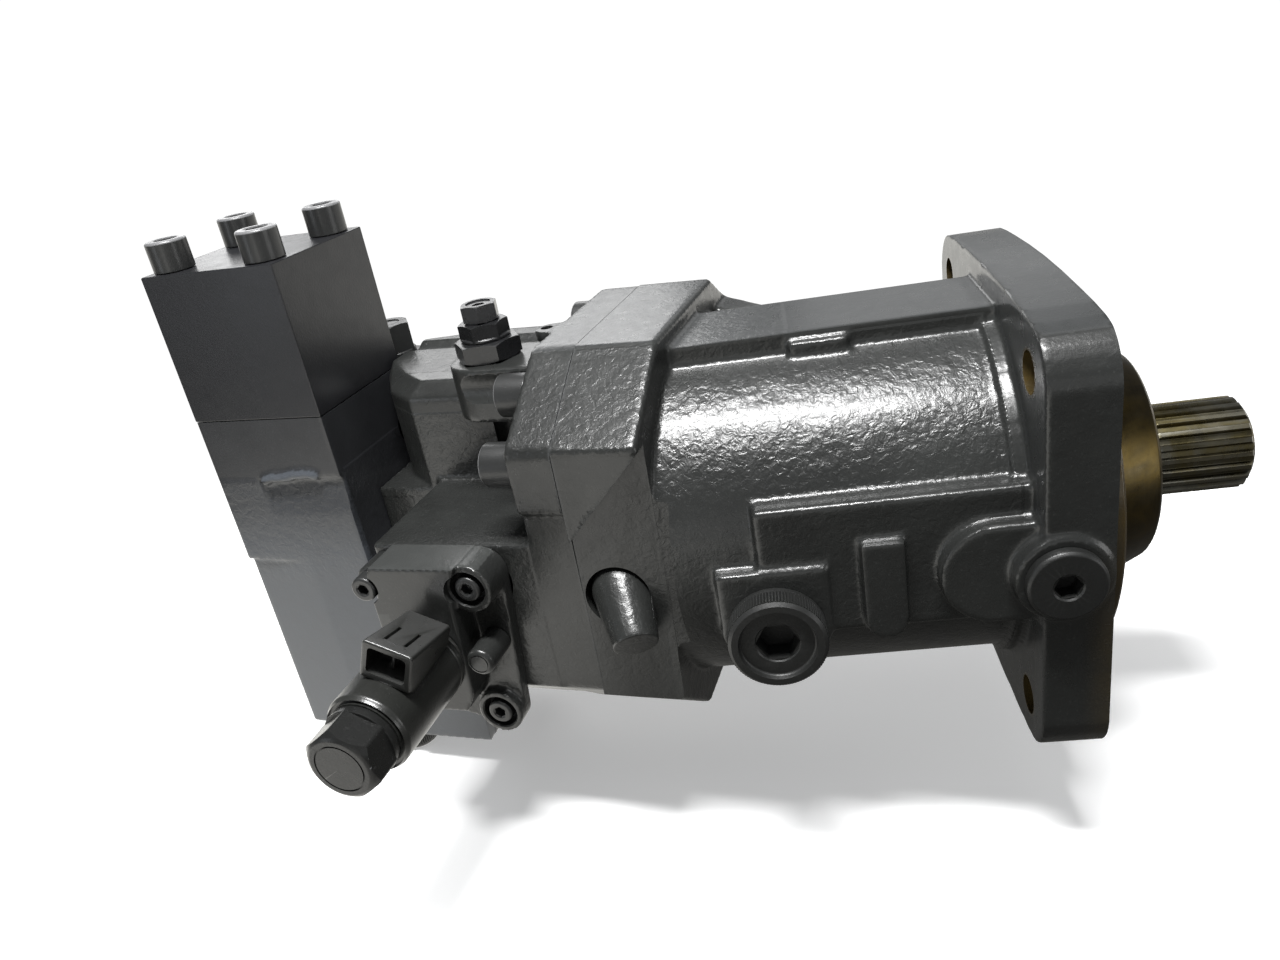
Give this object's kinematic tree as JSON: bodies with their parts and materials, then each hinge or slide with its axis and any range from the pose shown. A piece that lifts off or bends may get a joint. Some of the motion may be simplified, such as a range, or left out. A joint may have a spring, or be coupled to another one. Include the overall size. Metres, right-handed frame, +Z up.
{
  "type": "bent-axis hydraulic motor",
  "caption": "Bent-axis variable hydraulic motor with square mounting flange, splined shaft, bolted port plate, tall valve column and solenoid control.",
  "frame": {"origin": "centre of the mounting flange's front face, on the shaft axis", "axes": "+X along the shaft out of the flange, +Y away from the solenoid control, +Z up along the valve column"},
  "size_m": [0.5349, 0.2896, 0.3262],
  "materials": {
    "housing_paint": "glossy dark grey enamel over rough casting",
    "port_plate_paint": "glossy dark grey enamel over rough casting",
    "column_paint": "satin dark grey enamel, cast skin above and milled face below",
    "block_paint": "satin dark grey enamel on milled faces",
    "control_paint": "glossy dark grey enamel",
    "painted_screw": "glossy dark grey enamel on steel",
    "plug_paint": "glossy dark enamel on knurled steel",
    "coil_paint": "semi-gloss dark grey enamel, scratched edges",
    "black_oxide": "black oxide steel, oiled",
    "shaft_steel": "ground steel under preserving oil",
    "oily_steel": "bare steel under golden preserving oil",
    "ground_steel": "ground steel",
    "bare_iron": "machined iron",
    "bronze": "turned bronze",
    "seal_rubber": "matt rubber"
  },
  "bodies": {
    "motor_body": {"drive_housing": "housing_paint", "port_plate": "port_plate_paint", "port_plate_screw_1": "painted_screw", "port_plate_screw_2": "painted_screw", "port_plate_screw_3": "painted_screw", "port_plate_screw_4": "painted_screw", "port_plate_screw_5": "painted_screw", "port_plate_screw_6": "painted_screw", "setting_screw_base": "black_oxide", "setting_screw_nut": "black_oxide", "setting_screw_stud": "black_oxide", "valve_column": "column_paint", "port_block": "block_paint", "port_block_screw_1": "painted_screw", "port_block_screw_2": "painted_screw", "port_block_screw_3": "painted_screw", "port_block_screw_4": "painted_screw", "hex_plug": "painted_screw", "bottom_plug": "plug_paint", "control_housing": "control_paint", "control_screw_1": "painted_screw", "control_screw_2": "painted_screw", "control_screw_3": "painted_screw", "control_screw_4": "painted_screw", "control_pin": "control_paint", "solenoid_tube": "ground_steel", "solenoid_coil": "coil_paint", "solenoid_nut": "coil_paint", "drain_plug_rear": "plug_paint", "drain_plug_front": "plug_paint", "front_bearing_cup": "ground_steel", "rear_bearing_cup": "ground_steel", "seal_cover": "oily_steel", "shaft_seal": "seal_rubber"},
    "shaft": {"drive_shaft": "shaft_steel", "retaining_plate": "bare_iron", "front_bearing_cone": "ground_steel", "rear_bearing_cone": "ground_steel"},
    "lens": {"control_lens": "bare_iron"},
    "block": {"cylinder_block": "bronze", "centre_pin": "ground_steel"},
    "positioner": {"positioning_piston": "ground_steel", "positioning_pin": "ground_steel"},
    "control_spool_body": {"control_spool": "ground_steel"},
    "counterbalance_spool_body": {"counterbalance_spool": "ground_steel"},
    "ball_1": {"piston_ball_1": "ground_steel"},
    "rod_1": {"piston_rod_1": "ground_steel"},
    "ball_2": {"piston_ball_2": "ground_steel"},
    "rod_2": {"piston_rod_2": "ground_steel"},
    "ball_3": {"piston_ball_3": "ground_steel"},
    "rod_3": {"piston_rod_3": "ground_steel"},
    "ball_4": {"piston_ball_4": "ground_steel"},
    "rod_4": {"piston_rod_4": "ground_steel"},
    "ball_5": {"piston_ball_5": "ground_steel"},
    "rod_5": {"piston_rod_5": "ground_steel"},
    "ball_6": {"piston_ball_6": "ground_steel"},
    "rod_6": {"piston_rod_6": "ground_steel"},
    "ball_7": {"piston_ball_7": "ground_steel"},
    "rod_7": {"piston_rod_7": "ground_steel"}
  },
  "joints": [
    {"name": "shaft_spin", "type": "hinge", "parent": "motor_body", "child": "shaft", "pos_m": [0, 0, 0], "axis": [1, 0, 0], "continuous": true},
    {"name": "block_swivel", "type": "hinge", "parent": "motor_body", "child": "lens", "pos_m": [-0.11, 0, 0], "axis": [0, 0, 1], "range_deg": [-12.5, 12.5]},
    {"name": "block_spin", "type": "hinge", "parent": "lens", "child": "block", "pos_m": [-0.11, 0, 0], "axis": [0.9763, -0.2164, 0], "continuous": true},
    {"name": "positioner_slide", "type": "slide", "parent": "motor_body", "child": "positioner", "axis": [0.2164, 0.9763, 0], "range_m": [-0.0262, 0.0262]},
    {"name": "control_spool_slide", "type": "slide", "parent": "motor_body", "child": "control_spool_body", "axis": [-0.2164, -0.9763, 0], "range_m": [0, 0.004], "stiffness_N_per_m": 2000},
    {"name": "counterbalance_slide", "type": "slide", "parent": "motor_body", "child": "counterbalance_spool_body", "axis": [0, 0, 1], "range_m": [-0.006, 0.006], "stiffness_N_per_m": 8000},
    {"name": "ball_spin_1", "type": "hinge", "parent": "shaft", "child": "ball_1", "pos_m": [-0.11, 0.03874, 0.01866], "axis": [1, 0, 0], "continuous": true},
    {"name": "rod_swivel_1", "type": "hinge", "parent": "ball_1", "child": "rod_1", "pos_m": [-0.11, 0.03874, 0.01866], "axis": [0, 0, 1], "range_deg": [-12.6, 12.6]},
    {"name": "ball_spin_2", "type": "hinge", "parent": "shaft", "child": "ball_2", "pos_m": [-0.11, 0.00957, 0.04192], "axis": [1, 0, 0], "continuous": true},
    {"name": "rod_swivel_2", "type": "hinge", "parent": "ball_2", "child": "rod_2", "pos_m": [-0.11, 0.00957, 0.04192], "axis": [0, 0, 1], "range_deg": [-12.6, 12.6]},
    {"name": "ball_spin_3", "type": "hinge", "parent": "shaft", "child": "ball_3", "pos_m": [-0.11, -0.02681, 0.03362], "axis": [1, 0, 0], "continuous": true},
    {"name": "rod_swivel_3", "type": "hinge", "parent": "ball_3", "child": "rod_3", "pos_m": [-0.11, -0.02681, 0.03362], "axis": [0, 0, 1], "range_deg": [-12.6, 12.6]},
    {"name": "ball_spin_4", "type": "hinge", "parent": "shaft", "child": "ball_4", "pos_m": [-0.11, -0.043, 0], "axis": [1, 0, 0], "continuous": true},
    {"name": "rod_swivel_4", "type": "hinge", "parent": "ball_4", "child": "rod_4", "pos_m": [-0.11, -0.043, 0], "axis": [0, 0, 1], "range_deg": [-12.6, 12.6]},
    {"name": "ball_spin_5", "type": "hinge", "parent": "shaft", "child": "ball_5", "pos_m": [-0.11, -0.02681, -0.03362], "axis": [1, 0, 0], "continuous": true},
    {"name": "rod_swivel_5", "type": "hinge", "parent": "ball_5", "child": "rod_5", "pos_m": [-0.11, -0.02681, -0.03362], "axis": [0, 0, 1], "range_deg": [-12.6, 12.6]},
    {"name": "ball_spin_6", "type": "hinge", "parent": "shaft", "child": "ball_6", "pos_m": [-0.11, 0.00957, -0.04192], "axis": [1, 0, 0], "continuous": true},
    {"name": "rod_swivel_6", "type": "hinge", "parent": "ball_6", "child": "rod_6", "pos_m": [-0.11, 0.00957, -0.04192], "axis": [0, 0, 1], "range_deg": [-12.6, 12.6]},
    {"name": "ball_spin_7", "type": "hinge", "parent": "shaft", "child": "ball_7", "pos_m": [-0.11, 0.03874, -0.01866], "axis": [1, 0, 0], "continuous": true},
    {"name": "rod_swivel_7", "type": "hinge", "parent": "ball_7", "child": "rod_7", "pos_m": [-0.11, 0.03874, -0.01866], "axis": [0, 0, 1], "range_deg": [-12.6, 12.6]}
  ],
  "couplings": [
    {"joint": "block_spin", "follows": "shaft_spin", "ratio": 1},
    {"joint": "positioner_slide", "follows": "block_swivel", "m_per_rad": -0.1195},
    {"joint": "ball_spin_1", "follows": "shaft_spin", "ratio": -1},
    {"joint": "rod_swivel_1", "follows": "block_swivel", "ratio": 1},
    {"joint": "ball_spin_2", "follows": "shaft_spin", "ratio": -1},
    {"joint": "rod_swivel_2", "follows": "block_swivel", "ratio": 1},
    {"joint": "ball_spin_3", "follows": "shaft_spin", "ratio": -1},
    {"joint": "rod_swivel_3", "follows": "block_swivel", "ratio": 1},
    {"joint": "ball_spin_4", "follows": "shaft_spin", "ratio": -1},
    {"joint": "rod_swivel_4", "follows": "block_swivel", "ratio": 1},
    {"joint": "ball_spin_5", "follows": "shaft_spin", "ratio": -1},
    {"joint": "rod_swivel_5", "follows": "block_swivel", "ratio": 1},
    {"joint": "ball_spin_6", "follows": "shaft_spin", "ratio": -1},
    {"joint": "rod_swivel_6", "follows": "block_swivel", "ratio": 1},
    {"joint": "ball_spin_7", "follows": "shaft_spin", "ratio": -1},
    {"joint": "rod_swivel_7", "follows": "block_swivel", "ratio": 1}
  ]
}
